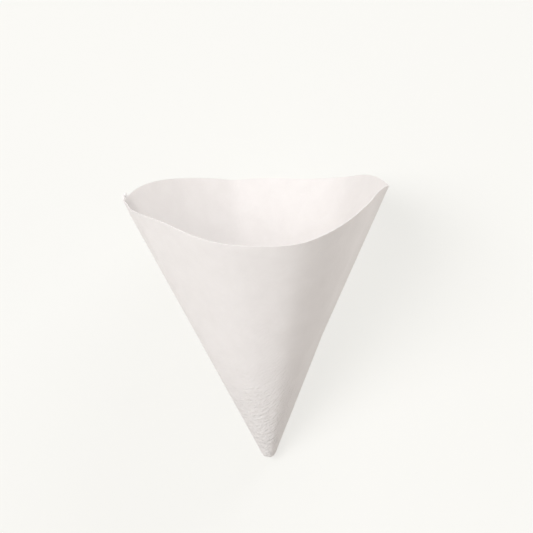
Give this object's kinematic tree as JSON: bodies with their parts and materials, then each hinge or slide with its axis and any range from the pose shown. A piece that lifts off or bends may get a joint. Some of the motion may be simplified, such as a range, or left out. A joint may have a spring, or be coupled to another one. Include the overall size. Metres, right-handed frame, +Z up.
{
  "type": "paper coffee filter",
  "caption": "Cone paper coffee filter, opened out and lying on its lower panel: folded sheet with a fold crease, a crimped seam tab, a blunt closed tip and an open mouth.",
  "frame": {"origin": "middle of the footprint, on the surface that the filter lies on", "axes": "+Z up, +Y from the blunt tip towards the mouth along the resting strip, +X from the seam to the fold"},
  "size_m": [0.088, 0.1014, 0.093],
  "materials": {
    "filter_paper": "matte white crepe filter paper, slightly translucent"
  },
  "bodies": {
    "root": {"filter_cone": "filter_paper"}
  },
  "joints": []
}
